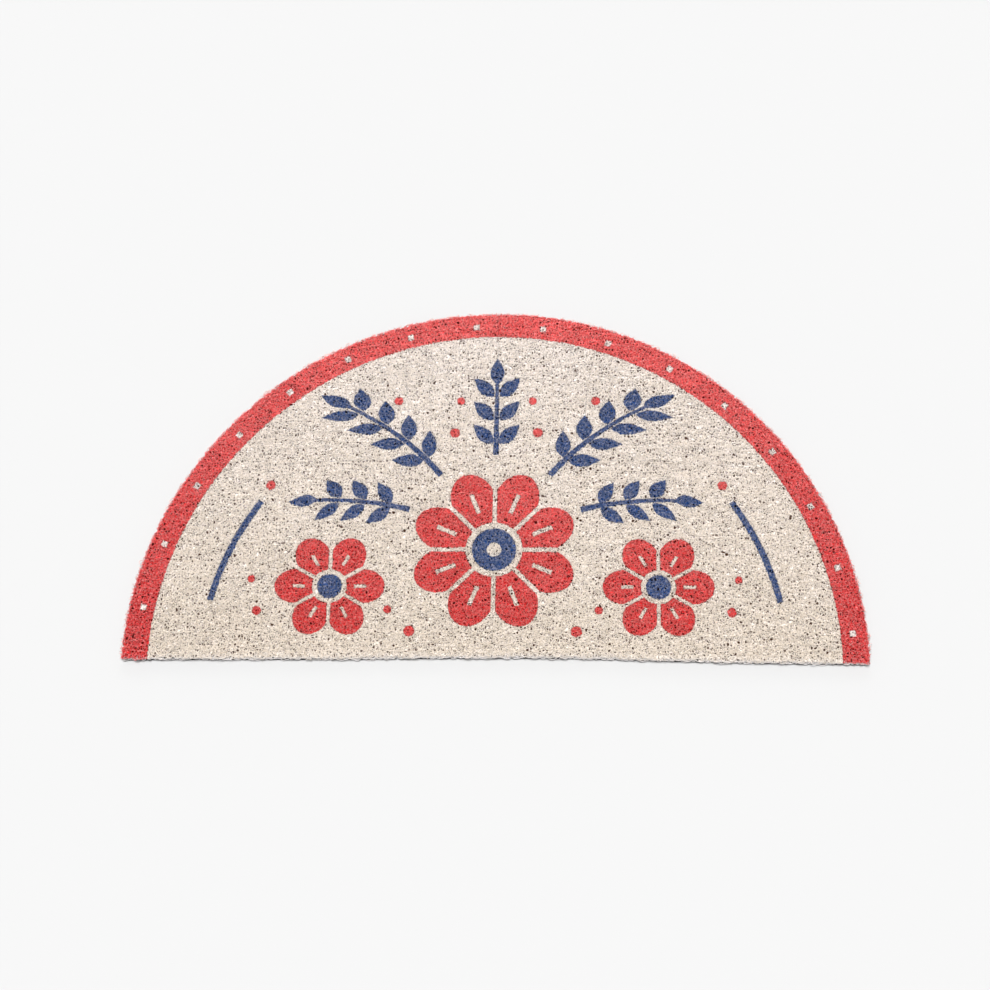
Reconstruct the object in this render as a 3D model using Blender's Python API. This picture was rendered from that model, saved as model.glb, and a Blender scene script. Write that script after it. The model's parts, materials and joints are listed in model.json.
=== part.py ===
"""Half-round doormat of looped vinyl: one flat piece with a straight front edge.

Metres, +Z up. The straight edge runs along X on the -Y side and the round edge is on
the +Y side. The underside lies on Z = 0, and the origin is below the middle of the
plan's box.
"""

import math

import bmesh
import bpy

# Driving sizes, in metres
WIDTH = 0.800           # corner to corner, along the straight edge
DEPTH = 0.406           # from the corners to the top of the round edge
THICKNESS = 0.010       # from the underside to the tops of the loops
FRONT_BOW = 0.005       # how far the straight edge draws in at its middle
RIM_ROUNDING = 0.0015   # the loops sink by this much where the mat was cut out

# Steps along the outline and over the rim
ROUND_STEPS = 144
FRONT_STEPS = 24
RIM_STEPS = 2
SHARP_ANGLE = math.radians(30)   # edges bent further than this stay crisp

# Finish of the bare loops: linear colour and gloss of plain off-white vinyl
VINYL_COLOUR = (0.72, 0.63, 0.54, 1.0)
VINYL_ROUGHNESS = 0.45


def clear_scene():
    """Removes what the file already holds."""
    for item in list(bpy.data.objects):
        bpy.data.objects.remove(item, do_unlink=True)


def round_edge():
    """The round edge from the right corner over the top to the left corner."""
    points = []
    for step in range(ROUND_STEPS + 1):
        angle = math.pi * step / ROUND_STEPS
        x = WIDTH / 2 * math.cos(angle)
        y = DEPTH * math.sin(angle) - DEPTH / 2
        points.append((x, y))
    return points


def front_edge():
    """The straight edge between the corners, from left to right, drawn in at its middle."""
    points = []
    for step in range(1, FRONT_STEPS):
        share = 2 * step / FRONT_STEPS - 1
        x = WIDTH / 2 * share
        y = FRONT_BOW * (1 - share ** 2) - DEPTH / 2
        points.append((x, y))
    return points


def slab_mesh(name):
    """The outline as a slab, with its upper rim rounded over."""
    shape = bmesh.new()
    corners = [shape.verts.new((x, y, 0.0)) for x, y in round_edge() + front_edge()]
    underside = shape.faces.new(corners)
    raised = bmesh.ops.extrude_face_region(shape, geom=[underside])["geom"]
    top_corners = [item for item in raised if isinstance(item, bmesh.types.BMVert)]
    bmesh.ops.translate(shape, verts=top_corners, vec=(0.0, 0.0, THICKNESS))
    top_rim = [edge for edge in shape.edges if all(corner in top_corners for corner in edge.verts)]
    bmesh.ops.bevel(
        shape,
        geom=top_rim,
        offset=RIM_ROUNDING,
        segments=RIM_STEPS,
        profile=0.5,
        affect="EDGES",
    )
    bmesh.ops.recalc_face_normals(shape, faces=shape.faces)
    mesh = bpy.data.meshes.new(name)
    shape.to_mesh(mesh)
    shape.free()
    mesh.shade_smooth()
    mesh.set_sharp_from_angle(angle=SHARP_ANGLE)
    return mesh


def looped_vinyl():
    """Plain looped vinyl: an off-white with a low gloss."""
    material = bpy.data.materials.new("looped_vinyl")
    material.use_nodes = True
    surface = material.node_tree.nodes["Principled BSDF"]
    surface.inputs["Base Color"].default_value = VINYL_COLOUR
    surface.inputs["Roughness"].default_value = VINYL_ROUGHNESS
    surface.inputs["Metallic"].default_value = 0.0
    return material


def add_mat():
    """The mat itself, the only piece."""
    mesh = slab_mesh("mat")
    mesh.materials.append(looped_vinyl())
    mat = bpy.data.objects.new("mat", mesh)
    bpy.context.collection.objects.link(mat)
    return mat


clear_scene()
add_mat()
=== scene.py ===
"""A half-round doormat of printed vinyl loops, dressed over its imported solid."""

import json
import math

import bpy
import numpy as np
from mathutils import Matrix, Vector

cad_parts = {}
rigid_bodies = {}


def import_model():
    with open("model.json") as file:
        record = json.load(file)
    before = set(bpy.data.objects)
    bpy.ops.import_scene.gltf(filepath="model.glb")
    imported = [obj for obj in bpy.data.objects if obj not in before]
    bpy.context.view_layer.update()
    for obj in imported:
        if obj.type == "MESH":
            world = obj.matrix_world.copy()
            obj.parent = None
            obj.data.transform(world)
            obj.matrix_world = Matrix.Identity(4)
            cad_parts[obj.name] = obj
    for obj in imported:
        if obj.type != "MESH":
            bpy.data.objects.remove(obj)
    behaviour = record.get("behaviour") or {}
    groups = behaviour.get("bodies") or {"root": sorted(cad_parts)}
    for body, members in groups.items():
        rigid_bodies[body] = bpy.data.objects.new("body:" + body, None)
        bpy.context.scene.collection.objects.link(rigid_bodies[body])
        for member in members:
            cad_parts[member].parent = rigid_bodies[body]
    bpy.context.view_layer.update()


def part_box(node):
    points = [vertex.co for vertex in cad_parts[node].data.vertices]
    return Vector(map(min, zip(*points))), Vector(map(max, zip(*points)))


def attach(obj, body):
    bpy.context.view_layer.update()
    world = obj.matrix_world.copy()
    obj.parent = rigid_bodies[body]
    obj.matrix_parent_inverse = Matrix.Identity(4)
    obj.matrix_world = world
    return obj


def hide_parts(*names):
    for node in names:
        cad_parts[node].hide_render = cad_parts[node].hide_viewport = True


bl_info = {
    "name": "Looped vinyl doormat",
    "version": (1, 0, 0),
    "blender": (4, 5, 0),
    "location": "3D View > Sidebar > Doormat",
    "description": "Builds a half-round doormat of printed vinyl loops on a plain stage",
    "category": "Object",
}

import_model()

# The mat's plan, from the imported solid
MAT_LOW, MAT_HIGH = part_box("mat")
HALF_WIDTH = (MAT_HIGH.x - MAT_LOW.x) / 2
DEPTH = MAT_HIGH.y - MAT_LOW.y
FRONT_Y = MAT_LOW.y
TOP_Z = MAT_HIGH.z

MM = 0.001
ROOT_TWO = math.sqrt(2)
# Keeps a division by a length of nought away
TINY = 1e-9


def linear(code):
    """An sRGB hex colour as linear red, green, blue and alpha."""
    values = []
    for place in (0, 2, 4):
        value = int(code[place:place + 2], 16) / 255
        values.append(value / 12.92 if value <= 0.04045 else ((value + 0.055) / 1.055) ** 2.4)
    return (*values, 1.0)


WHITE = linear("FFFFFF")


# Plan of the mat

# The straight cut wanders from its bow in waves of this length, the first crest left of the middle
WAVE_LENGTH = 425 * MM
WAVE_CREST = -170 * MM
# The printed loops end this far behind the lower ones along the straight cut
FRONT_TRIM = 2.6 * MM


def front_line(x):
    """Y of the straight edge, which draws in at its middle and wanders a little."""
    sizes = bpy.context.scene.doormat_sizes
    wave = sizes.front_wave * np.cos(2 * math.pi * (x - WAVE_CREST) / WAVE_LENGTH)
    return FRONT_Y + sizes.front_bow * (1 - (x / HALF_WIDTH) ** 2) - wave


def inside_by(x, y):
    """How far points lie inside the cut outline, in metres, and below nought outside it."""
    reach = np.hypot(x, y - FRONT_Y)
    share = np.hypot(x / HALF_WIDTH, (y - FRONT_Y) / DEPTH)
    to_round_edge = reach / np.maximum(share, TINY) - reach
    return np.minimum(to_round_edge, y - front_line(x) - FRONT_TRIM)


def outline(inset, front_inset, steps_round, steps_front):
    """Points round the plan, drawn in by its insets, counterclockwise from the right corner."""
    angle = np.linspace(0, math.pi, steps_round, endpoint=False)
    x = (HALF_WIDTH - inset) * np.cos(angle)
    y = FRONT_Y + (DEPTH - inset) * np.sin(angle)
    front_x = (HALF_WIDTH - inset) * np.linspace(-1, 1, steps_front, endpoint=False)
    front_y = front_line(front_x) + front_inset
    y = np.maximum(y, front_line(x) + front_inset)
    return np.column_stack((np.concatenate((x, front_x)), np.concatenate((y, front_y))))


# Filament meshes

FILAMENT_SIDES = 3


def drift(random, count, steps, size, walking=False):
    """A value that wanders smoothly from turn to turn, one for each step along a row."""
    knots = random.normal(0.0, size, count + 2)
    if walking:
        knots = np.cumsum(knots)
    return np.interp(np.arange(count * steps) / steps, np.arange(count + 2), knots)


def keep_runs(points, keep, shortest):
    """The points of each unbroken kept stretch that isn't too short."""
    edges = np.flatnonzero(np.diff(np.concatenate(([0], keep.astype(int), [0]))))
    pairs = zip(edges[::2], edges[1::2])
    return [points[first:last] for first, last in pairs if last - first >= shortest]


def filament_mesh(name, runs, thickness):
    """Filaments with few sides and closed ends, one along each run of points."""
    sides = FILAMENT_SIDES
    points = np.concatenate(runs)
    lengths = np.array([len(run) for run in runs])
    ends = np.cumsum(lengths) - 1
    starts = ends - lengths + 1
    along = np.empty_like(points)
    along[1:-1] = points[2:] - points[:-2]
    along[starts] = points[starts + 1] - points[starts]
    along[ends] = points[ends] - points[ends - 1]
    along /= np.linalg.norm(along, axis=1)[:, None]
    beside = np.cross(along, (0.0, 0.0, 1.0))
    beside /= np.maximum(np.linalg.norm(beside, axis=1), TINY)[:, None]
    above = np.cross(beside, along)
    corners = []
    for side in range(sides):
        angle = math.pi / 2 + 2 * math.pi * side / sides
        corners.append(points + thickness / 2 * (beside * math.cos(angle) + above * math.sin(angle)))
    vertices = np.stack(corners, axis=1).reshape(-1, 3)
    joined = np.ones(len(points), bool)
    joined[ends] = False
    first = np.flatnonzero(joined) * sides
    faces = []
    for side in range(sides):
        after = (side + 1) % sides
        quads = (first + side, first + sides + side, first + sides + after, first + after)
        faces += np.column_stack(quads).tolist()
    faces += np.column_stack([starts * sides + side for side in range(sides)]).tolist()
    faces += np.column_stack([ends * sides + side for side in reversed(range(sides))]).tolist()
    mesh = bpy.data.meshes.new(name)
    mesh.from_pydata(vertices, [], faces)
    mesh.shade_smooth()
    return mesh


def plan_map(mesh):
    """A flat map of the plan, for the print where it is baked."""
    count = len(mesh.loops)
    corners = np.empty(count, np.int32)
    mesh.loops.foreach_get("vertex_index", corners)
    places = np.empty(len(mesh.vertices) * 3, np.float32)
    mesh.vertices.foreach_get("co", places)
    plan = places.reshape(-1, 3)[:, :2]
    low, high = plan.min(axis=0), plan.max(axis=0)
    layer = mesh.uv_layers.new(name="OFBake")
    layer.uv.foreach_set("vector", ((plan - low) / (high - low))[corners].ravel())


def add_object(name, data):
    """An object on the scene, in place of an earlier one of the same name."""
    earlier = bpy.data.objects.get(name)
    if earlier:
        bpy.data.objects.remove(earlier)
    item = bpy.data.objects.new(name, data)
    bpy.context.scene.collection.objects.link(item)
    return item


def add_piece(name, mesh, *materials):
    """An object of the mesh, riding on the mat's one body."""
    for material in materials:
        mesh.materials.append(material)
    piece = add_object(name, mesh)
    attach(piece, "root")
    return piece


# Node trees


def add_node(tree, kind, inputs=(), **settings):
    """Adds a node with its settings, and links or fills its inputs in order or by name."""
    node = tree.nodes.new(kind)
    for name, value in settings.items():
        setattr(node, name, value)
    for place, value in inputs.items() if isinstance(inputs, dict) else enumerate(inputs):
        if isinstance(value, bpy.types.Node):
            value = value.outputs[0]
        if isinstance(value, bpy.types.NodeSocket):
            tree.links.new(value, node.inputs[place])
        else:
            node.inputs[place].default_value = value
    return node


MATH = "ShaderNodeMath"
VECTOR = "ShaderNodeVectorMath"
RANGE = "ShaderNodeMapRange"
NOISE = "ShaderNodeTexNoise"
CELLS = "ShaderNodeTexVoronoi"
SPLIT = "ShaderNodeSeparateXYZ"
GROUP = "ShaderNodeGroup"
BUMP = "ShaderNodeBump"
# A colour mix's sockets, which share their names with those of its other kinds
MIX = "ShaderNodeMix"
FACTOR, UNDER, OVER = 0, 6, 7
MIXED = 2


def new_group(name, inputs, outputs):
    """An empty node group with the named inputs and outputs, and its inner ends."""
    group = bpy.data.node_groups.new(name, "ShaderNodeTree")
    for label, kind in inputs:
        group.interface.new_socket(label, in_out="INPUT", socket_type=kind)
    for label in outputs:
        group.interface.new_socket(label, in_out="OUTPUT", socket_type="NodeSocketFloat")
    return group, group.nodes.new("NodeGroupInput").outputs, group.nodes.new("NodeGroupOutput")


# Lengths in millimetres: how far the leaf at the tip overlaps the stem, the bare stalk before
# each other leaf, and how much narrower the leaves are cut all round
TIP_OVERLAP = 6.0
STALK = 1.5
LEAF_TRIM = 0.3
# Share of its width that a stem loses by its tip, and how blunt leaves and petals are
STEM_TAPER = 0.45
LEAF_BLUNTNESS = 0.8
PETAL_BLUNTNESS = 0.75


def sprig_group():
    """A leafy sprig as a field in millimetres: below nought on the stem and its leaves."""
    names = ("Turn", "Bend", "Length", "Pitch", "Count", "First", "Leaf", "Width", "Stem")
    inputs = [("Place", "NodeSocketVector"), ("Start", "NodeSocketVector")]
    inputs += [(name, "NodeSocketFloat") for name in names]
    tree, given, result = new_group("print_sprig", inputs, ["Field"])
    offset = add_node(tree, VECTOR, (given["Place"], given["Start"]), operation="SUBTRACT")
    turned = add_node(
        tree,
        "ShaderNodeVectorRotate",
        {"Vector": offset, "Angle": given["Turn"]},
        rotation_type="Z_AXIS",
        invert=True,
    )
    local = add_node(tree, SPLIT, (turned,)).outputs
    s = local["X"]
    squared = add_node(tree, MATH, (s, s), operation="MULTIPLY")
    bent = add_node(tree, MATH, (squared, given["Bend"]), operation="MULTIPLY")
    across = add_node(tree, MATH, (local["Y"], bent), operation="SUBTRACT")
    away = add_node(tree, MATH, (across,), operation="ABSOLUTE")
    # stem, thinner towards its tip
    share = add_node(tree, MATH, (s, given["Length"]), operation="DIVIDE")
    taper = add_node(tree, MATH, (share, -STEM_TAPER, 1.0), operation="MULTIPLY_ADD")
    half_stem = add_node(tree, MATH, (given["Stem"], taper), operation="MULTIPLY")
    stem = add_node(tree, MATH, (away, half_stem), operation="SUBTRACT")
    before = add_node(tree, MATH, (s, -1.0), operation="MULTIPLY")
    beyond = add_node(tree, MATH, (s, given["Length"]), operation="SUBTRACT")
    stem_ends = add_node(tree, MATH, (before, beyond), operation="MAXIMUM")
    stem = add_node(tree, MATH, (stem, stem_ends), operation="MAXIMUM")
    # pairs of leaves that leave the stem at half a right angle
    slant = add_node(tree, MATH, (s, away), operation="SUBTRACT")
    slant = add_node(tree, MATH, (slant, given["First"]), operation="SUBTRACT")
    half_pitch = add_node(tree, MATH, (given["Pitch"], 0.5), operation="MULTIPLY")
    low_end = add_node(tree, MATH, (half_pitch, -1.0), operation="MULTIPLY")
    wrapped = add_node(tree, MATH, (slant, half_pitch, low_end), operation="WRAP")
    cross = add_node(tree, MATH, (wrapped, 1 / ROOT_TWO), operation="MULTIPLY")
    along = add_node(tree, MATH, (away, ROOT_TWO, cross), operation="MULTIPLY_ADD")
    along = add_node(tree, MATH, (along, given["Stem"]), operation="SUBTRACT")
    along = add_node(tree, MATH, (along, STALK), operation="SUBTRACT")
    blades = []
    tip_start = add_node(tree, MATH, (beyond, TIP_OVERLAP), operation="ADD")
    for run, width_at in ((along, cross), (tip_start, across)):
        part = add_node(tree, MATH, (run, given["Leaf"]), operation="DIVIDE", use_clamp=True)
        part = add_node(tree, MATH, (part, LEAF_BLUNTNESS), operation="POWER")
        part = add_node(tree, MATH, (part, math.pi), operation="MULTIPLY")
        part = add_node(tree, MATH, (part,), operation="SINE")
        half = add_node(tree, MATH, (part, given["Width"], -LEAF_TRIM), operation="MULTIPLY_ADD")
        gap = add_node(tree, MATH, (width_at,), operation="ABSOLUTE")
        blades.append(add_node(tree, MATH, (gap, half), operation="SUBTRACT"))
    too_low = add_node(tree, MATH, (low_end, slant), operation="SUBTRACT")
    last = add_node(tree, MATH, (given["Count"], -0.5), operation="ADD")
    last = add_node(tree, MATH, (last, given["Pitch"]), operation="MULTIPLY")
    too_high = add_node(tree, MATH, (slant, last), operation="SUBTRACT")
    leaf_ends = add_node(tree, MATH, (too_low, too_high), operation="MAXIMUM")
    leaves = add_node(tree, MATH, (blades[0], leaf_ends), operation="MAXIMUM")
    field = add_node(tree, MATH, (leaves, blades[1]), operation="MINIMUM")
    field = add_node(tree, MATH, (field, stem), operation="MINIMUM")
    tree.links.new(field.outputs[0], result.inputs[0])
    return tree


def flower_group():
    """A round flower as two fields in millimetres: its petals, and the disc at its heart."""
    names = ("Petals", "Turn", "Body", "Lobe", "Gap", "Core", "Eye", "Ring")
    names += ("Vein", "Vein start", "Vein end")
    inputs = [("Place", "NodeSocketVector"), ("Centre", "NodeSocketVector")]
    inputs += [(name, "NodeSocketFloat") for name in names]
    tree, given, result = new_group("print_flower", inputs, ["Petal field", "Core field"])
    offset = add_node(tree, VECTOR, (given["Place"], given["Centre"]), operation="SUBTRACT")
    reach = add_node(tree, VECTOR, (offset,), operation="LENGTH").outputs["Value"]
    local = add_node(tree, SPLIT, (offset,)).outputs
    angle = add_node(tree, MATH, (local["Y"], local["X"]), operation="ARCTAN2")
    angle = add_node(tree, MATH, (angle, given["Turn"]), operation="ADD")
    half_count = add_node(tree, MATH, (given["Petals"], 0.5), operation="MULTIPLY")
    angle = add_node(tree, MATH, (angle, half_count), operation="MULTIPLY")
    arc = add_node(tree, MATH, (reach, half_count), operation="DIVIDE")
    waves = []
    for wave in ("COSINE", "SINE"):
        value = add_node(tree, MATH, (angle,), operation=wave)
        waves.append(add_node(tree, MATH, (value,), operation="ABSOLUTE"))
    crown, notch = waves
    round_tip = add_node(tree, MATH, (crown, PETAL_BLUNTNESS), operation="POWER")
    edge = add_node(tree, MATH, (round_tip, given["Lobe"], given["Body"]), operation="MULTIPLY_ADD")
    petals = add_node(tree, MATH, (reach, edge), operation="SUBTRACT")
    parting = add_node(tree, MATH, (arc, crown), operation="MULTIPLY")
    parting = add_node(tree, MATH, (given["Gap"], parting), operation="SUBTRACT")
    petals = add_node(tree, MATH, (petals, parting), operation="MAXIMUM")
    hollow = add_node(tree, MATH, (given["Ring"], reach), operation="SUBTRACT")
    petals = add_node(tree, MATH, (petals, hollow), operation="MAXIMUM")
    # a pale vein down the middle of each petal
    inner = add_node(tree, MATH, (arc, notch), operation="MULTIPLY")
    vein = add_node(tree, MATH, (given["Vein"], inner), operation="SUBTRACT")
    from_start = add_node(tree, MATH, (reach, given["Vein start"]), operation="SUBTRACT")
    to_end = add_node(tree, MATH, (given["Vein end"], reach), operation="SUBTRACT")
    for limit in (from_start, to_end):
        vein = add_node(tree, MATH, (vein, limit), operation="MINIMUM")
    petals = add_node(tree, MATH, (petals, vein), operation="MAXIMUM")
    core = add_node(tree, MATH, (reach, given["Core"]), operation="SUBTRACT")
    eye = add_node(tree, MATH, (given["Eye"], reach), operation="SUBTRACT")
    core = add_node(tree, MATH, (core, eye), operation="MAXIMUM")
    tree.links.new(petals.outputs[0], result.inputs[0])
    tree.links.new(core.outputs[0], result.inputs[1])
    return tree


# Sizes in millimetres from the middle of the straight edge; each row stands on both sides
SPRIGS = (
    # start x and y, turn, bend, length, pitch, leaf pairs, first, leaf, width, half a stem
    (0.0, 236.0, 90.0, 0.0, 90.0, 28.0, 3, 10.0, 32.0, 8.0, 3.2),
    (60.0, 212.0, 50.0, -0.0017, 134.0, 30.0, 4, 22.0, 34.0, 8.2, 3.4),
    (94.0, 172.0, 14.0, -0.0014, 108.0, 28.0, 3, 18.0, 30.0, 7.6, 3.2),
)
FLOWERS = (
    # centre x and y, petals, turn, body, lobe, gap, core, eye, ring, vein, its start and end
    (0.0, 126.0, 8, 22.5, 62.0, 30.0, 2.4, 24.0, 8.0, 31.0, 2.4, 45.0, 68.0),
    (178.0, 84.0, 6, 0.0, 36.0, 24.0, 2.0, 13.5, 0.0, 19.0, 1.8, 27.0, 40.0),
)
BERRIES = (
    # centre x and y, radius
    (46.0, 262.0, 5.5),
    (40.0, 300.0, 4.5),
    (110.0, 300.0, 5.0),
    (90.0, 34.0, 6.0),
    (114.0, 58.0, 4.5),
    (256.0, 56.0, 5.0),
    (264.0, 92.0, 4.2),
)
DOT_PLACE = (248.5, 200.0)
# Millimetres inside the round edge between which loops go from little ink to full ink, and the
# share that is little
INK_REACH = (-2.0, 1.0)
INK_OUTSIDE = 0.3
# Millimetres from the edge of a shape within which the ink pools, and from which on it is even
BRINK = (0.3, 1.1)


def border_field(tree, local, inset, band):
    """The border's field: the band along the round edge, with a gap at each pale square."""
    sizes = bpy.context.scene.doormat_print
    leftward = add_node(tree, MATH, (local["X"], -1.0), operation="MULTIPLY")
    turn = add_node(tree, MATH, (local["Y"], leftward), operation="ARCTAN2")
    middle = (HALF_WIDTH + DEPTH) / 2 / MM - sizes.square_inset / MM
    first = -sizes.square_first / MM
    run = add_node(tree, MATH, (turn, middle, first), operation="MULTIPLY_ADD")
    half_pitch = sizes.square_pitch / MM / 2
    run = add_node(tree, MATH, (run, half_pitch, -half_pitch), operation="WRAP")
    run = add_node(tree, MATH, (run,), operation="ABSOLUTE")
    cross = add_node(tree, MATH, (inset, sizes.square_inset / MM), operation="SUBTRACT")
    cross = add_node(tree, MATH, (cross,), operation="ABSOLUTE")
    square = add_node(tree, MATH, (run, cross), operation="MAXIMUM")
    square = add_node(tree, MATH, (sizes.square_side / MM / 2, square), operation="SUBTRACT")
    return add_node(tree, MATH, (band, square), operation="MAXIMUM")


def arc_field(tree, halved, reach):
    """The side arcs' field: a thin stroke about the middle of the straight edge."""
    sizes = bpy.context.scene.doormat_print
    mirror = add_node(tree, SPLIT, (halved,)).outputs
    arc = add_node(tree, MATH, (reach, sizes.arc_radius / MM), operation="SUBTRACT")
    arc = add_node(tree, MATH, (arc,), operation="ABSOLUTE")
    arc = add_node(tree, MATH, (arc, sizes.arc_stroke / MM / 2), operation="SUBTRACT")
    climb = add_node(tree, MATH, (mirror["Y"], mirror["X"]), operation="ARCTAN2")
    under = add_node(tree, MATH, (sizes.arc_low, climb), operation="SUBTRACT")
    over = add_node(tree, MATH, (climb, sizes.arc_high), operation="SUBTRACT")
    ends = add_node(tree, MATH, (under, over), operation="MAXIMUM")
    ends = add_node(tree, MATH, (ends, sizes.arc_radius / MM), operation="MULTIPLY")
    return add_node(tree, MATH, (arc, ends), operation="MAXIMUM")


def motif_fields(tree, halved):
    """The fields of the red motifs and of the blue ones, each alike on both sides."""
    sizes = bpy.context.scene.doormat_print
    reds = []
    blues = []
    for x, y, radius in (*BERRIES, (*DOT_PLACE, sizes.dot / MM / 2)):
        gap = add_node(tree, VECTOR, (halved, (x, y, 0.0)), operation="DISTANCE").outputs["Value"]
        reds.append(add_node(tree, MATH, (gap, radius), operation="SUBTRACT"))
    sprig = sprig_group()
    for x, y, turn, *rest in SPRIGS:
        values = (halved, (x, y, 0.0), math.radians(turn), *map(float, rest))
        blues.append(add_node(tree, GROUP, values, node_tree=sprig))
    flower = flower_group()
    for x, y, petals, turn, *rest in FLOWERS:
        values = (halved, (x, y, 0.0), float(petals), math.radians(turn), *rest)
        made = add_node(tree, GROUP, values, node_tree=flower)
        reds.append(made)
        blues.append(made.outputs["Core field"])
    return reds, blues


def print_group():
    """The print as masks: its red, its blue, the whole border band, and each shape's edge."""
    sizes = bpy.context.scene.doormat_print
    masks = ["Red", "Blue", "Border", "Edge"]
    place_in = [("Place", "NodeSocketVector")]
    tree, given, result = new_group("doormat_print", place_in, masks)
    # millimetres from the middle of the straight edge
    to_mm = (1 / MM, 1 / MM, 0.0)
    shift = (0.0, -FRONT_Y / MM, 0.0)
    place = add_node(tree, VECTOR, (given["Place"], to_mm, shift), operation="MULTIPLY_ADD")
    halved = add_node(tree, VECTOR, (place,), operation="ABSOLUTE")
    local = add_node(tree, SPLIT, (place,)).outputs
    reach = add_node(tree, VECTOR, (place,), operation="LENGTH").outputs["Value"]
    scaled = (MM / HALF_WIDTH, MM / DEPTH, 0.0)
    share = add_node(tree, VECTOR, (place, scaled), operation="MULTIPLY")
    share = add_node(tree, VECTOR, (share,), operation="LENGTH").outputs["Value"]
    edge_reach = add_node(tree, MATH, (reach, share), operation="DIVIDE")
    inset = add_node(tree, MATH, (edge_reach, reach), operation="SUBTRACT")
    band = add_node(tree, MATH, (inset, sizes.border / MM), operation="SUBTRACT")
    reds, blues = motif_fields(tree, halved)
    reds.append(border_field(tree, local, inset, band))
    blues.append(arc_field(tree, halved, reach))
    # the ink's edge wanders from loop to loop
    rough = {"Vector": place, "Scale": MM / sizes.ragged_grain, "Detail": 1.0}
    wander = add_node(tree, NOISE, rough, noise_dimensions="2D")
    wander = add_node(tree, MATH, (wander, -0.5), operation="ADD")
    wander = add_node(tree, MATH, (wander, sizes.ragged_reach / MM), operation="MULTIPLY")
    # loops that hang out past the round cut take less of it
    outer, inner = INK_REACH
    reached = {"Value": inset, "From Min": outer, "From Max": inner, "To Min": INK_OUTSIDE}
    reached = add_node(tree, RANGE, reached)
    brinks = []
    for name, fields in (("Red", reds), ("Blue", blues)):
        field = fields[0]
        for other in fields[1:]:
            field = add_node(tree, MATH, (field, other), operation="MINIMUM")
        mask = add_node(tree, MATH, (field, wander), operation="LESS_THAN")
        mask = add_node(tree, MATH, (mask, reached), operation="MULTIPLY")
        tree.links.new(mask.outputs[0], result.inputs[name])
        brink = add_node(tree, MATH, (field, wander), operation="SUBTRACT")
        brinks.append(add_node(tree, MATH, (brink,), operation="ABSOLUTE"))
    # the ink is darkest along the edge of each shape
    near, far = BRINK
    brink = add_node(tree, MATH, brinks, operation="MINIMUM")
    brink = {"Value": brink, "From Min": near, "From Max": far, "To Min": 1.0, "To Max": 0.0}
    brink = add_node(tree, RANGE, brink)
    tree.links.new(brink.outputs[0], result.inputs["Edge"])
    border = add_node(tree, MATH, (band, wander), operation="LESS_THAN")
    tree.links.new(border.outputs[0], result.inputs["Border"])
    return tree


# Materials

# How far apart the patches of each pattern lie. The mat is seen at about a millimetre to a
# pixel, so strands finer than that are drawn as coarse as they need to show.
# Painted light makes the print lighter towards the round edge, unevenly over a few centimetres,
# by this share of its whole lightening
PAINTED_EDGE_LIGHT = 45 * MM
PAINTED_EDGE_LIGHT_UNEVEN = 0.6
# Stretches of about two widths of the filament take more ink or less, and its tone, partly painted
# shade and light, changes after little more than one
INK_TAKE = 2.2 * MM
LOOP_TONE_AND_SHADE = 1.3 * MM
# About one loop of the cut side
CUT_TONE = 4.0 * MM
# Lower filaments of 0.96 mm, drawn coarser, and the pits between them, one to each upper loop
# their darkness is painted shade
WEB_STRAND = 1.6 * MM
WEB_PIT = 3.5 * MM
# Loops in the dark of the side, about as far apart as the rows above them
DEPTH_STRAND = 3.4 * MM
DEPTH_SWIRL = 4.0 * MM
# Meshes of the underside, whose loops were pressed flat and so are wider
UNDER_STRAND = 4.2 * MM
UNDER_SWIRL = 6.0 * MM
# How far the swirls pull the strands aside, and how far a strand stands up
DEPTH_PULL = 3.0 * MM
UNDER_PULL = 4.0 * MM
STRAND_RELIEF = 1.0 * MM
# Between these heights the ink fades in on the cut side, up to this much higher in places
INK_FOOT = 7.0 * MM
INK_FULL = 10.0 * MM
INK_UNEVEN = 4.0 * MM
# Soft vinyl, typical values
VINYL_IOR = 1.53
VINYL_ROUGHNESS = 0.40
# Light lost in the gaps leaves nearly no gloss, and paper has little
GAP_GLOSS = 0.05
PAPER_GLOSS = 0.1
# How much lighter than its ink the lightest stretch of a loop is, as painted light
LOOP_PAINTED_LIFT = 1.13
# Share of ink on the loops that took least of it, and what it darkens at the edge of a shape
RED_COVER = 0.75
BLUE_COVER = 0.66
EDGE_POOL = 0.22
# Largest pit, as a share of the distance between pits, and how many more are small
PIT_RADIUS = 0.57
PIT_SPREAD = 1.2


def new_material(name, roughness):
    """A material with its node tree, its shader, and the place on the mat."""
    material = bpy.data.materials.new(name)
    material.use_nodes = True
    tree = material.node_tree
    surface = tree.nodes["Principled BSDF"]
    surface.inputs["Roughness"].default_value = roughness
    return material, tree, surface, add_node(tree, "ShaderNodeTexCoord").outputs["Object"]


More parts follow.
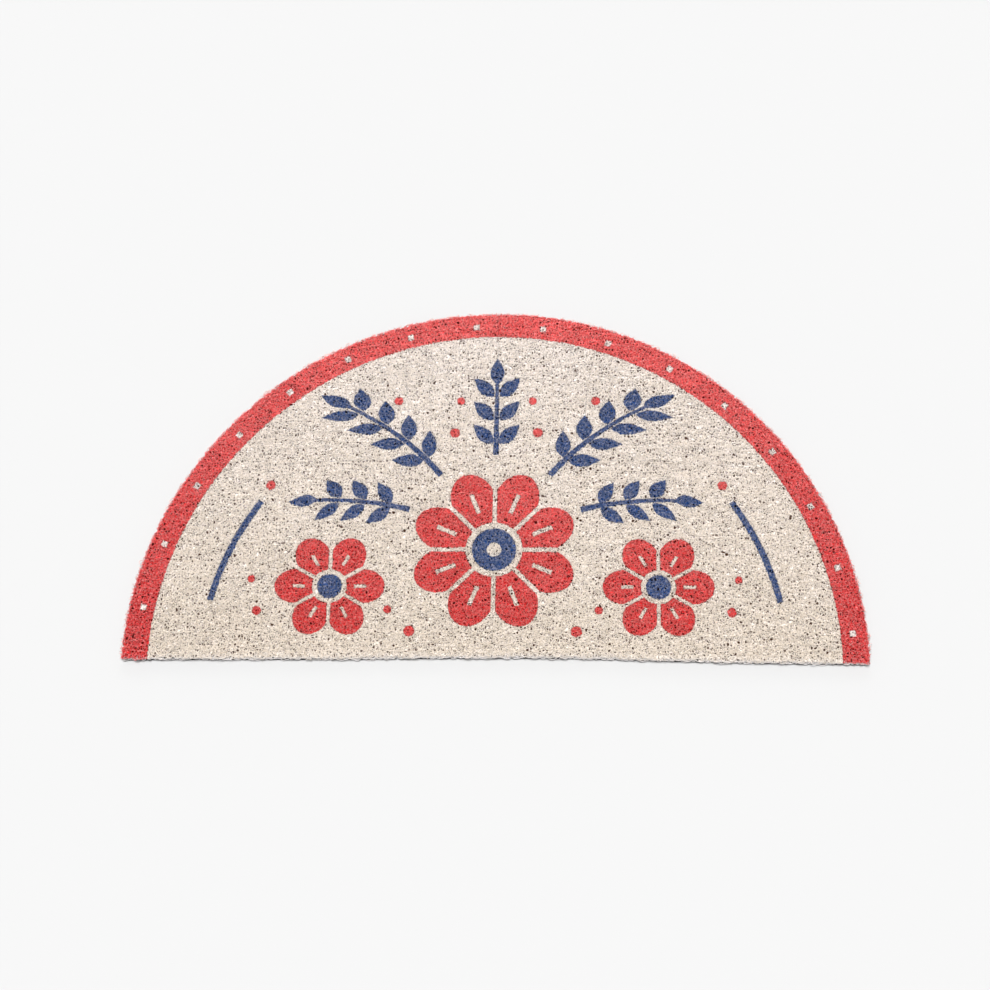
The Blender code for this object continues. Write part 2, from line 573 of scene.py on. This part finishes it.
def printed_colour(tree, place):
    """The print's colours: ink that covers most of each loop, over bare vinyl."""
    colours = bpy.context.scene.doormat_colours
    masks = add_node(tree, GROUP, (place,), node_tree=print_group()).outputs
    # painted light: the print lightens towards the round edge, and unevenly over a few centimetres
    slow = add_node(tree, NOISE, {"Vector": place, "Scale": 1 / PAINTED_EDGE_LIGHT, "Detail": 2.0})
    even = 0.5 - PAINTED_EDGE_LIGHT_UNEVEN / 2
    slow = add_node(tree, MATH, (slow, PAINTED_EDGE_LIGHT_UNEVEN, even), operation="MULTIPLY_ADD")
    rise = add_node(tree, SPLIT, (place,)).outputs["Y"]
    rise = add_node(tree, MATH, (rise, 1 / DEPTH, slow), operation="MULTIPLY_ADD")
    pale = add_node(tree, RANGE, {"Value": rise, "From Min": 0.05, "From Max": 0.95})
    ground = {FACTOR: pale, UNDER: colours.cream, OVER: colours.cream_lit}
    ground = add_node(tree, MIX, ground, data_type="RGBA").outputs[MIXED]
    ground = {FACTOR: masks["Border"], UNDER: ground, OVER: colours.bare}
    inked = add_node(tree, MIX, ground, data_type="RGBA").outputs[MIXED]
    red = {FACTOR: pale, UNDER: colours.red, OVER: colours.red_lit}
    red = add_node(tree, MIX, red, data_type="RGBA").outputs[MIXED]
    # some loops take less ink
    take = add_node(tree, NOISE, {"Vector": place, "Scale": 1 / INK_TAKE, "Detail": 1.0})
    for name, ink, least in (("Red", red, RED_COVER), ("Blue", colours.blue, BLUE_COVER)):
        share = {"Value": take, "From Min": 0.46, "From Max": 0.70, "To Min": 1.0, "To Max": least}
        share = add_node(tree, RANGE, share)
        share = add_node(tree, MATH, (masks[name], share), operation="MULTIPLY")
        inked = {FACTOR: share, UNDER: inked, OVER: ink}
        inked = add_node(tree, MIX, inked, data_type="RGBA").outputs[MIXED]
    pool = add_node(tree, MATH, (masks["Edge"], -EDGE_POOL, 1.0), operation="MULTIPLY_ADD")
    return add_node(tree, VECTOR, (inked, pool), operation="MULTIPLY").outputs[0]


def printed_filament():
    """Soft vinyl (PVC) filament, extruded and cooled in water, then printed from above."""
    # smooth and satin: a soft light streak runs along each loop, none of it mirror-like
    material, tree, surface, place = new_material("extruded_vinyl_printed", VINYL_ROUGHNESS)
    surface.inputs["IOR"].default_value = VINYL_IOR
    inked = printed_colour(tree, place)
    # each stretch of a loop is a little lighter than the next, or darker and warmer
    # random tone, with painted shade in the dark warm stretches and painted light in the lightest
    tone = add_node(tree, NOISE, {"Vector": place, "Scale": 1 / LOOP_TONE_AND_SHADE, "Detail": 1.0})
    tone = add_node(tree, RANGE, {"Value": tone, "From Min": 0.32, "From Max": 0.68})
    tone = {FACTOR: tone, UNDER: bpy.context.scene.doormat_colours.shade, OVER: WHITE}
    tone = add_node(tree, MIX, tone, data_type="RGBA").outputs[MIXED]
    toned = add_node(tree, VECTOR, (inked, tone), operation="MULTIPLY")
    toned = add_node(tree, VECTOR, {"Vector": toned, "Scale": LOOP_PAINTED_LIFT}, operation="SCALE")
    tree.links.new(toned.outputs[0], surface.inputs["Base Color"])
    return material


def cut_filament():
    """The same extruded vinyl at the cut side: ink above, bare off-white below."""
    # the ink came from above, so it fades out within a few millimetres of the top
    material, tree, surface, place = new_material("extruded_vinyl_cut", VINYL_ROUGHNESS)
    surface.inputs["IOR"].default_value = VINYL_IOR
    inked = printed_colour(tree, place)
    patches = add_node(tree, NOISE, {"Vector": place, "Scale": 1 / CUT_TONE})
    height = add_node(tree, SPLIT, (place,)).outputs["Z"]
    height = add_node(tree, MATH, (patches, INK_UNEVEN, height), operation="MULTIPLY_ADD")
    reach = add_node(tree, RANGE, {"Value": height, "From Min": INK_FOOT, "From Max": INK_FULL})
    inked = {FACTOR: reach, UNDER: bpy.context.scene.doormat_colours.bare, OVER: inked}
    inked = add_node(tree, MIX, inked, data_type="RGBA").outputs[MIXED]
    tone = {"Value": patches, "From Min": 0.3, "From Max": 0.7, "To Min": 0.86, "To Max": 1.04}
    tone = add_node(tree, RANGE, tone)
    toned = add_node(tree, VECTOR, (inked, tone), operation="MULTIPLY")
    tree.links.new(toned.outputs[0], surface.inputs["Base Color"])
    return material


def shaded_web():
    """Looped vinyl below the top layer, which the print reaches but little light does."""
    # between the upper loops it shows as dim strands of the same ink round near-black pits,
    # all painted shade
    colours = bpy.context.scene.doormat_colours
    material, tree, surface, place = new_material("looped_vinyl_web_inked_shaded", roughness=0.8)
    surface.inputs["Specular IOR Level"].default_value = GAP_GLOSS
    inked = printed_colour(tree, place)
    strands = {"Vector": place, "Scale": 1 / WEB_STRAND, "Detail": 2.0, "Roughness": 0.6}
    strands = add_node(tree, NOISE, strands)
    shade = {"Value": strands, "From Min": 0.39, "From Max": 0.58, "To Min": 0.24, "To Max": 1.12}
    shade = add_node(tree, RANGE, shade)
    # painted shadow: pits down to the dark inside, each of its own size
    cells = {"Vector": place, "Scale": 1 / WEB_PIT}
    cells = add_node(tree, CELLS, cells, voronoi_dimensions="2D").outputs
    pick = add_node(tree, "ShaderNodeSeparateColor", (cells["Color"],))
    pick = add_node(tree, MATH, (pick, PIT_SPREAD), operation="POWER")
    radius = add_node(tree, MATH, (pick, PIT_RADIUS), operation="MULTIPLY")
    depth = add_node(tree, MATH, (cells["Distance"], radius), operation="SUBTRACT")
    pit = {"Value": depth, "From Min": -0.05, "From Max": 0.05, "To Min": 0.02}
    pit = add_node(tree, RANGE, pit)
    dim = add_node(tree, MATH, (shade, pit), operation="MULTIPLY")
    # painted shade: light that comes back out of a gap has met the ink more than once
    tint = {FACTOR: dim, UNDER: colours.gap, OVER: WHITE}
    tint = add_node(tree, MIX, tint, data_type="RGBA").outputs[MIXED]
    toned = add_node(tree, VECTOR, (inked, tint), operation="MULTIPLY")
    tree.links.new(toned.outputs[0], surface.inputs["Base Color"])
    bump = add_node(tree, BUMP, {"Height": dim, "Strength": 0.6, "Distance": STRAND_RELIEF})
    tree.links.new(bump.outputs[0], surface.inputs["Normal"])
    return material


def strand_gaps(tree, place, swirl, pull, spacing):
    """How far each place lies from the nearest of the strands that wind round the gaps."""
    wound = add_node(tree, NOISE, {"Vector": place, "Scale": 1 / swirl}).outputs["Color"]
    wound = add_node(tree, VECTOR, (wound, (pull,) * 3, place), operation="MULTIPLY_ADD")
    cells = {"Vector": wound, "Scale": 1 / spacing}
    return add_node(tree, CELLS, cells, feature="DISTANCE_TO_EDGE")


def dark_web():
    """The looped vinyl deep inside the mat, seen past the cut loops of its rim."""
    # painted shade: nearly black, because light is lost between the loops, with a few strands
    # still dimly lit
    colours = bpy.context.scene.doormat_colours
    material, tree, surface, place = new_material("looped_vinyl_web_depth_shade", roughness=0.9)
    surface.inputs["Specular IOR Level"].default_value = GAP_GLOSS
    gaps = strand_gaps(tree, place, DEPTH_SWIRL, DEPTH_PULL, DEPTH_STRAND)
    strand = {"Value": gaps, "From Min": 0.06, "From Max": 0.18, "To Min": 0.12, "To Max": 0.0}
    strand = add_node(tree, RANGE, strand)
    toned = {FACTOR: strand, UNDER: colours.depth, OVER: colours.bare}
    toned = add_node(tree, MIX, toned, data_type="RGBA").outputs[MIXED]
    tree.links.new(toned, surface.inputs["Base Color"])
    return material


def bare_web():
    """The underside: unprinted vinyl loops, pressed flat against the belt they were laid on."""
    # off-white and matt where the strands lie flat, with dark meshes of a few millimetres
    # that are painted shade in the holes
    material, tree, surface, place = new_material("looped_vinyl_web_bare", roughness=0.55)
    gaps = strand_gaps(tree, place, UNDER_SWIRL, UNDER_PULL, UNDER_STRAND)
    strand = {"Value": gaps, "From Min": 0.10, "From Max": 0.26, "To Min": 1.0, "To Max": 0.22}
    strand = add_node(tree, RANGE, strand)
    bare = bpy.context.scene.doormat_colours.bare[:3]
    toned = add_node(tree, VECTOR, (bare, strand), operation="MULTIPLY")
    tree.links.new(toned.outputs[0], surface.inputs["Base Color"])
    bump = add_node(tree, BUMP, {"Height": strand, "Strength": 0.8, "Distance": STRAND_RELIEF})
    tree.links.new(bump.outputs[0], surface.inputs["Normal"])
    return material


def paper_floor():
    """Matt white background paper, rolled out flat."""
    # pulp fibres scatter the light evenly, so it shows no gloss and only soft contact shadows
    material, tree, surface, place = new_material("matt_paper_floor", roughness=0.9)
    surface.inputs["Base Color"].default_value = bpy.context.scene.doormat_colours.floor
    surface.inputs["Specular IOR Level"].default_value = PAPER_GLOSS
    return material


# Settings shown in the sidebar


def length_setting(name, description, default):
    """A length property, in metres."""
    return bpy.props.FloatProperty(
        name=name,
        description=description,
        default=default,
        unit="LENGTH",
    )


class DoormatSizes(bpy.types.PropertyGroup):
    """Sizes of the cut mat and its loops"""

    front_bow: length_setting(
        "Front bow", "How far the straight edge draws in at its middle", 5 * MM
    )
    front_wave: length_setting(
        "Front wave", "How far the straight edge wanders off its bow", 0.8 * MM
    )
    web_height: length_setting(
        "Web height", "Height of the lower loops, below the loops that show", 7.0 * MM
    )
    filament: length_setting("Filament", "Thickness of the vinyl filament", 0.96 * MM)
    loop_radius: length_setting(
        "Loop radius", "Middle radius of the loops in the upper layer", 2.8 * MM
    )
    row_pitch: length_setting(
        "Row pitch", "Distance between the rows in which the filament was laid", 3.6 * MM
    )
    loop_advance: length_setting("Advance", "How far a row moves on with each loop", 3.85 * MM)
    loop_steps: bpy.props.IntProperty(
        name="Steps",
        description="Straight steps in one loop",
        default=8,
    )
    seed: bpy.props.IntProperty(
        name="Seed",
        description="Another seed lays the loops another way",
        default=7,
    )


class DoormatPrint(bpy.types.PropertyGroup):
    """Sizes of the printed border and side arcs"""

    border: length_setting("Border", "Width of the red border along the round edge", 28.3 * MM)
    square_side: length_setting("Square", "Side of the pale squares in the border", 6.6 * MM)
    square_inset: length_setting(
        "Square inset", "From the round edge to the middle of the squares", 15.5 * MM
    )
    square_first: length_setting(
        "First square", "Along the border from the left corner to the first square", 60.0 * MM
    )
    square_pitch: length_setting(
        "Square pitch", "Distance between the squares along the border", 74.9 * MM
    )
    arc_radius: length_setting(
        "Arc radius", "Radius of the thin side arcs about the middle of the straight edge", 315 * MM
    )
    arc_stroke: length_setting("Arc stroke", "Width of the thin side arcs", 6.8 * MM)
    arc_low: bpy.props.FloatProperty(
        name="Arc start",
        description="Angle at which a side arc starts above the straight edge",
        default=math.radians(12.4),
        subtype="ANGLE",
    )
    arc_high: bpy.props.FloatProperty(
        name="Arc end",
        description="Angle at which a side arc ends",
        default=math.radians(35.1),
        subtype="ANGLE",
    )
    dot: length_setting("Dot", "Diameter of the red dot above each side arc", 10.4 * MM)
    ragged_reach: length_setting("Ragged edge", "How far the ink's edge wanders", 1.6 * MM)
    ragged_grain: length_setting(
        "Ragged grain", "Distance over which the ink's edge wanders", 2.4 * MM
    )


def colour_setting(name, description, code):
    """A colour property whose default is an sRGB hex value."""
    return bpy.props.FloatVectorProperty(
        name=name,
        description=description,
        default=linear(code),
        size=4,
        min=0.0,
        max=1.0,
        subtype="COLOR",
    )


class DoormatColours(bpy.types.PropertyGroup):
    """Colours of the vinyl, its inks and gaps with their painted light and shade, and the floor"""

    cream: colour_setting("Cream", "Ground, towards the straight edge", "EEE4DA")
    # painted light: lit cream and lit red make the print lighter towards the round edge
    cream_lit: colour_setting("Lit cream", "Ground, towards the round edge", "F9F1ED")
    red: colour_setting("Red", "Border and flowers, towards the straight edge", "DC3234")
    red_lit: colour_setting("Lit red", "Border and flowers, towards the round edge", "F05C5C")
    blue: colour_setting("Blue", "Arcs and leaves", "224A89")
    bare: colour_setting("Bare vinyl", "Filament below the ink", "FAF4F2")
    shade: colour_setting("Shade", "What the dullest stretch of a loop leaves of its ink", "D5CFC3")
    # painted shade: the warm dark tint of the gaps between loops
    gap: colour_setting("Gap", "What a gap leaves of its ink", "402818")
    # painted shade: the dark inside of the mat
    depth: colour_setting("Depth", "Dark inside of the mat", "1F1A18")
    floor: colour_setting("Floor", "Plain pale floor", "C3C3C3")


# Lower web

# The web's materials in their order: inked on top, bare underneath, dark at the side
# each of them with painted shade between its strands
TOP_FACE, BARE_FACE, DARK_FACE = range(3)
# Rings of the web from its middle out to its rim, and points of a ring along each edge
WEB_RINGS = 12
WEB_STEPS_ROUND = 200
WEB_STEPS_FRONT = 60
# The rings close on a point this far back, as a share of the depth
WEB_MIDDLE = 0.42


def web_levels(height):
    """Levels of the web: height, insets along the round and straight edges, kind of face."""
    # a thin foot reaches out to the straight edge, and behind it the rim's loops stand free
    # the foot and the side are dark with painted shade
    return (
        (0.0, 2.4 * MM, 0.5 * MM, BARE_FACE),
        (0.4 * MM, 2.3 * MM, 0.6 * MM, DARK_FACE),
        (0.9 * MM, 2.2 * MM, 3.0 * MM, DARK_FACE),
        (0.88 * height, 1.3 * MM, 3.0 * MM, DARK_FACE),
        (height, 1.1 * MM, 2.2 * MM, TOP_FACE),
    )


def web_mesh(height):
    """The web as one closed body, ring by ring over its underside, side and top."""
    under, *sides, top = web_levels(height)
    shares = np.linspace(0, 1, WEB_RINGS + 1)[1:]
    rings = [(share, under) for share in shares]
    rings += [(1.0, side) for side in sides]
    rings += [(share, top) for share in reversed(shares)]
    middle = np.array((0.0, FRONT_Y + DEPTH * WEB_MIDDLE))
    vertices = []
    for share, (level, inset, front_inset, _) in rings:
        rim = outline(inset, front_inset, WEB_STEPS_ROUND, WEB_STEPS_FRONT)
        vertices.extend((x, y, level) for x, y in middle + (rim - middle) * share)
    count = WEB_STEPS_ROUND + WEB_STEPS_FRONT
    steps = [(i, (i + 1) % count) for i in range(count)]
    faces = []
    kinds = []
    for place, ((_, first), (_, second)) in enumerate(zip(rings, rings[1:])):
        low, high = place * count, (place + 1) * count
        faces += [(low + j, low + i, high + i, high + j) for i, j in steps]
        kinds += [max(first[3], second[3])] * count
    # a fan closes the middle of the underside, and another the middle of the top
    below, above = len(vertices), len(vertices) + 1
    vertices += [(*middle, under[0]), (*middle, top[0])]
    faces += [(below, j, i) for i, j in steps]
    faces += [(above, high + i, high + j) for i, j in steps]
    kinds += [BARE_FACE] * count + [TOP_FACE] * count
    mesh = bpy.data.meshes.new("web")
    mesh.from_pydata(vertices, [], faces)
    mesh.polygons.foreach_set("material_index", kinds)
    return mesh


class DOORMAT_OT_web(bpy.types.Operator):
    """Builds the lower web of the mat, one flat sheet on its whole plan"""

    bl_idname = "doormat.web"
    bl_label = "Web"

    def execute(self, context):
        loops = [item for item in bpy.data.objects if item.name.startswith("loops_")]
        if not loops:
            raise RuntimeError("The web carries the loops, so the loops are laid first")
        sizes = context.scene.doormat_sizes
        mesh = web_mesh(sizes.web_height)
        piece = add_piece("web", mesh, shaded_web(), bare_web(), dark_web())
        # half an ellipse, less the bow of its straight edge
        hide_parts("mat")
        return {"FINISHED"}


# Printed loops

STRIPS = 6
# Rows, and turns in a row, that are laid beyond the mat so that its outline cuts them all
SPARE_ROWS = 3
SPARE_TURNS = 6
# How much a row strays as it is laid: in its turning and leaning, as radians, in the size of
# its loops, as a share, and in their places
TURN_STRAY = 0.5
LEAN_STRAY = 1.0
SIZE_STRAY = 0.26
ALONG_STRAY = 1.3 * MM
ACROSS_STRAY = 1.6 * MM
HEIGHT_STRAY = 0.35 * MM
# A leaning loop rises and falls by this much, about a height this far below the top
LEAN_RISE = 0.9 * MM
LEAN_BELOW = 1.1 * MM
# No loop's middle line comes nearer to the top than this
TOP_GAP = 0.2 * MM
# Loops sink towards the cut, by this much over this width
CUT_SINK = 1.4 * MM
CUT_WIDTH = 3 * MM
# They end about this far outside the cut, more or less, between these two places inside it
CUT_OUTSIDE = 1.75 * MM
CUT_STRAY = 1.5 * MM
CUT_FARTHEST = -3.8 * MM
CUT_NEAREST = 0.4 * MM
# Fewer points than this make no filament
SHORTEST_RUN = 3


def loop_row(random, y_row):
    """The filament of one row of loops, as runs of points that end at the mat's outline."""
    sizes = bpy.context.scene.doormat_sizes
    steps = sizes.loop_steps
    turns = int(2 * HALF_WIDTH / sizes.loop_advance) + SPARE_TURNS
    step = np.arange(turns * steps) / steps
    hand = 1 if random.random() < 0.5 else -1
    phase = 2 * math.pi * step * hand + random.uniform(0, 2 * math.pi)
    phase = phase + drift(random, turns, steps, TURN_STRAY)
    radius = sizes.loop_radius * (1 + drift(random, turns, steps, SIZE_STRAY))
    x = (step - turns / 2) * sizes.loop_advance + drift(random, turns, steps, ALONG_STRAY)
    y = y_row + drift(random, turns, steps, ACROSS_STRAY)
    x = x + radius * np.cos(phase)
    y = y + radius * np.sin(phase)
    lean = phase + random.uniform(0, 2 * math.pi)
    lean = lean + drift(random, turns, steps, LEAN_STRAY, walking=True)
    z = TOP_Z - sizes.filament / 2 - LEAN_BELOW + LEAN_RISE * np.sin(lean)
    z = np.minimum(z + drift(random, turns, steps, HEIGHT_STRAY), TOP_Z - TOP_GAP)
    depth_in = inside_by(x, y)
    z = z - CUT_SINK * np.clip(1 - depth_in / CUT_WIDTH, 0, 1) ** 2
    margin = drift(random, turns, steps, CUT_STRAY) - CUT_OUTSIDE
    keep = depth_in > np.clip(margin, CUT_FARTHEST, CUT_NEAREST)
    return keep_runs(np.column_stack((x, y, z)), keep, SHORTEST_RUN)


class DOORMAT_OT_loops(bpy.types.Operator):
    """Lays the printed loops of the upper layer, row by row, in strips across the mat"""

    bl_idname = "doormat.loops"
    bl_label = "Printed loops"

    def execute(self, context):
        sizes = context.scene.doormat_sizes
        random = np.random.default_rng(sizes.seed)
        runs = []
        for row in range(int(DEPTH / sizes.row_pitch) + SPARE_ROWS):
            runs.extend(loop_row(random, FRONT_Y + (row - 0.5) * sizes.row_pitch))
        if not runs:
            raise RuntimeError("No loop lies inside the mat's outline: the settings are too large")
        # strips of about as many points each
        filled = np.cumsum([len(run) for run in runs])
        strips = np.minimum((filled * STRIPS / filled[-1]).astype(int), STRIPS - 1)
        material = printed_filament()
        for strip in range(STRIPS):
            name = f"loops_{strip + 1}"
            chosen = [run for run, place in zip(runs, strips) if place == strip]
            mesh = filament_mesh(name, chosen, sizes.filament)
            plan_map(mesh)
            add_piece(name, mesh, material)
        return {"FINISHED"}


# Cut rim

RIM_ROWS = (
    # edge, middle height and inset, half width, height and depth of its loops, their advance
    ("round", 2.0 * MM, 0.3 * MM, 1.5 * MM, 1.5 * MM, 0.85 * MM, 4.4 * MM),
    ("round", 4.7 * MM, 0.3 * MM, 1.7 * MM, 1.7 * MM, 0.85 * MM, 3.7 * MM),
    ("round", 7.2 * MM, 0.3 * MM, 1.7 * MM, 1.7 * MM, 0.85 * MM, 3.7 * MM),
    ("straight", 1.6 * MM, 3.6 * MM, 2.2 * MM, 0.9 * MM, 2.3 * MM, 6.2 * MM),
    ("straight", 3.4 * MM, 3.0 * MM, 2.3 * MM, 1.2 * MM, 2.3 * MM, 5.0 * MM),
    ("straight", 5.0 * MM, 2.8 * MM, 2.3 * MM, 1.3 * MM, 2.3 * MM, 5.0 * MM),
    ("straight", 6.5 * MM, 2.8 * MM, 2.3 * MM, 1.2 * MM, 2.3 * MM, 4.4 * MM),
    ("straight", 7.9 * MM, 3.0 * MM, 2.3 * MM, 0.9 * MM, 2.3 * MM, 4.0 * MM),
)
# Straight steps in a loop, and how far its middle strays inwards
RIM_STEPS = {"round": 8, "straight": 9}
RIM_INWARD_STRAY = {"round": 0.1 * MM, "straight": 0.55 * MM}
# How much else strays, as in the printed rows
RIM_TURN_STRAY = 0.8
RIM_LEAN_STRAY = 1.5
RIM_SIZE_STRAY = 0.28
RIM_ALONG_STRAY = 1.4 * MM
RIM_HEIGHT_STRAY = 0.6 * MM
# Loops crowd together and part again along the edge, by this much over this length
CROWDING = 1.3 * MM
CROWDING_LENGTH = 7.3 * MM
# Nothing of the rim comes nearer to the top than this
RIM_TOP_GAP = 1.1 * MM
# Above this height the round edge leans in slightly, and below it the loops draw in quickly
WAIST = 3 * MM
LEAN_ABOVE_WAIST = 0.03
LEAN_BELOW_WAIST = 0.35
# Points of the outline that the rim follows
TRACK_STEPS_ROUND = 720
TRACK_STEPS_FRONT = 400


def rim_track():
    """The outline as a closed track: lengths along it, and its points and headings there."""
    edge = outline(0.0, 0.0, TRACK_STEPS_ROUND, TRACK_STEPS_FRONT)
    closed = np.vstack((edge, edge[:1]))
    strides = np.hypot(*np.diff(closed, axis=0).T)
    lengths = np.concatenate(([0], np.cumsum(strides)))
    ahead = np.roll(edge, -1, axis=0) - np.roll(edge, 1, axis=0)
    ahead /= np.linalg.norm(ahead, axis=1)[:, None]
    ahead = np.vstack((ahead, ahead[:1]))
    return lengths, (*closed.T, *ahead.T)


def rim_row(random, lengths, track, row):
    """The filament of one row of loops along one edge, as points."""
    name, level, inset, half_width, half_height, half_depth, advance = row
    sizes = bpy.context.scene.doormat_sizes
    # the round edge's loops stand upright, the straight cut's lie as they were laid
    upright = name == "round"
    corner = lengths[TRACK_STEPS_ROUND]
    start, end = (0.0, corner) if upright else (corner, lengths[-1])
    steps = RIM_STEPS[name]
    turns = int((end - start) / advance)
    step = np.arange(turns * steps)
    phase = 2 * math.pi * step / steps + drift(random, turns, steps, RIM_TURN_STRAY)
    size = 1 + drift(random, turns, steps, RIM_SIZE_STRAY)
    lean = phase + drift(random, turns, steps, RIM_LEAN_STRAY)
    place = start + step / len(step) * (end - start)
    place = place + CROWDING * np.sin(place * 2 * math.pi / CROWDING_LENGTH)
    place = place + size * half_width * np.cos(phase)
    place = np.mod(place + drift(random, turns, steps, RIM_ALONG_STRAY), lengths[-1])
    z = level + size * half_height * np.sin(phase if upright else lean)
    z = z + drift(random, turns, steps, RIM_HEIGHT_STRAY)
    z = np.clip(z, sizes.filament / 2, TOP_Z - RIM_TOP_GAP)
    inward = inset + drift(random, turns, steps, RIM_INWARD_STRAY[name])
    inward = inward + size * half_depth * (np.cos(lean) if upright else np.sin(phase))
    if upright:
        inward = inward + LEAN_ABOVE_WAIST * np.maximum(z - WAIST, 0)
        inward = inward + LEAN_BELOW_WAIST * np.maximum(WAIST - z, 0)
    x, y, ahead_x, ahead_y = (np.interp(place, lengths, values) for values in track)
    return np.column_stack((x - ahead_y * inward, y + ahead_x * inward, z))


class DOORMAT_OT_rim(bpy.types.Operator):
    """Lays bare loops along the cut side of the mat, below the printed ones"""

    bl_idname = "doormat.rim"
    bl_label = "Cut rim"

    def execute(self, context):
        sizes = context.scene.doormat_sizes
        random = np.random.default_rng(sizes.seed + 1)
        lengths, track = rim_track()
        runs = [rim_row(random, lengths, track, row) for row in RIM_ROWS]
        mesh = filament_mesh("loops_rim", runs, sizes.filament)
        add_piece("loops_rim", mesh, cut_filament())
        return {"FINISHED"}


# Stage

# Half the floor's side, and how far it lies below the mat's underside
FLOOR_REACH = 6.0
FLOOR_DROP = 0.2 * MM
SOFTBOXES = (
    # name, place and strength: one straight above, and a weak one low behind
    ("softbox_above", (-0.05, 0.3, 4.0), 3.86),
    ("softbox_behind", (0.0, 5.6, 2.6), 0.42),
)
SOFTBOX_SPREAD = math.radians(17.0)
# The camera turns about a point above the middle of the mat, and its lens is in millimetres
CAMERA_AZIMUTH = math.radians(9.22)
CAMERA_ELEVATION = math.radians(70.46)
CAMERA_ROLL = math.radians(-8.62)
CAMERA_DISTANCE = 2.16
CAMERA_AIM = Vector((0.0, -0.0147, TOP_Z))
CAMERA_LENS = 71.62
CAMERA_SENSOR = 36.0


def add_floor():
    """The plain floor under the mat."""
    corners = ((-1, -1), (1, -1), (1, 1), (-1, 1))
    vertices = [(x * FLOOR_REACH, y * FLOOR_REACH, -FLOOR_DROP) for x, y in corners]
    mesh = bpy.data.meshes.new("floor")
    mesh.from_pydata(vertices, [], [(0, 1, 2, 3)])
    mesh.materials.append(paper_floor())
    add_object("floor", mesh)


def add_white_room():
    """Light from white walls all round, dimmer overhead."""
    world = bpy.data.worlds.new("white_room")
    bpy.context.scene.world = world
    world.use_nodes = True
    tree = world.node_tree
    height = add_node(tree, "ShaderNodeTexCoord").outputs["Generated"]
    height = add_node(tree, SPLIT, (height,)).outputs["Z"]
    glow = {"Value": height, "From Min": 0.05, "From Max": 0.35, "To Min": 0.93, "To Max": 0.41}
    glow = add_node(tree, RANGE, glow)
    room = tree.nodes["Background"]
    room.inputs["Color"].default_value = WHITE
    tree.links.new(glow.outputs[0], room.inputs["Strength"])


def add_softboxes():
    """Wide soft lights, all aimed at the mat."""
    for name, place, strength in SOFTBOXES:
        lamp = bpy.data.lights.new(name, "SUN")
        lamp.angle = SOFTBOX_SPREAD
        lamp.energy = strength
        light = add_object(name, lamp)
        light.location = place
        light.rotation_euler = (-light.location).to_track_quat("-Z", "Y").to_euler()


def add_camera():
    """The camera, nearly above the mat and turned a little."""
    azimuth, elevation, roll = CAMERA_AZIMUTH, CAMERA_ELEVATION, CAMERA_ROLL
    right = Vector((math.cos(azimuth), math.sin(azimuth), 0.0))
    back = Vector((
        math.cos(elevation) * math.sin(azimuth),
        -math.cos(elevation) * math.cos(azimuth),
        math.sin(elevation),
    ))
    up = back.cross(right)
    turned_right = right * math.cos(roll) + up * math.sin(roll)
    turned_up = up * math.cos(roll) - right * math.sin(roll)
    data = bpy.data.cameras.new("camera")
    data.lens = CAMERA_LENS
    data.sensor_width = CAMERA_SENSOR
    camera = add_object("camera", data)
    matrix = Matrix((turned_right, turned_up, back)).transposed().to_4x4()
    matrix.translation = CAMERA_AIM + back * CAMERA_DISTANCE
    camera.matrix_world = matrix
    bpy.context.scene.camera = camera


class DOORMAT_OT_stage(bpy.types.Operator):
    """Sets the plain floor, the soft light and the camera"""

    bl_idname = "doormat.stage"
    bl_label = "Stage"

    def execute(self, context):
        add_floor()
        add_white_room()
        add_softboxes()
        add_camera()
        context.scene.view_settings.view_transform = "Standard"
        return {"FINISHED"}


# Sidebar


class DOORMAT_PT_sidebar(bpy.types.Panel):
    """Settings and steps of the doormat"""

    bl_idname = "DOORMAT_PT_sidebar"
    bl_label = "Doormat"
    bl_space_type = "VIEW_3D"
    bl_region_type = "UI"
    bl_category = "Doormat"

    def draw(self, context):
        layout = self.layout
        for group in ("doormat_sizes", "doormat_print", "doormat_colours"):
            settings = getattr(context.scene, group)
            for name in settings.bl_rna.properties.keys():
                if name not in ("rna_type", "name"):
                    layout.prop(settings, name)
        for step in STEPS:
            layout.operator(step.bl_idname)


STEPS = (DOORMAT_OT_loops, DOORMAT_OT_rim, DOORMAT_OT_web, DOORMAT_OT_stage)
GROUPS = (
    (DoormatSizes, "doormat_sizes"),
    (DoormatPrint, "doormat_print"),
    (DoormatColours, "doormat_colours"),
)


def register():
    """Registers the classes and puts the settings on the scene."""
    for group, place in GROUPS:
        bpy.utils.register_class(group)
        setattr(bpy.types.Scene, place, bpy.props.PointerProperty(type=group))
    for item in (*STEPS, DOORMAT_PT_sidebar):
        bpy.utils.register_class(item)


def unregister():
    """Takes the settings and the classes away again."""
    for item in (DOORMAT_PT_sidebar, *reversed(STEPS)):
        bpy.utils.unregister_class(item)
    for group, place in reversed(GROUPS):
        delattr(bpy.types.Scene, place)
        bpy.utils.unregister_class(group)


def main():
    """Builds the mat and its stage."""
    register()
    bpy.ops.doormat.loops()
    bpy.ops.doormat.rim()
    bpy.ops.doormat.web()
    bpy.ops.doormat.stage()


if __name__ == "__main__":
    main()
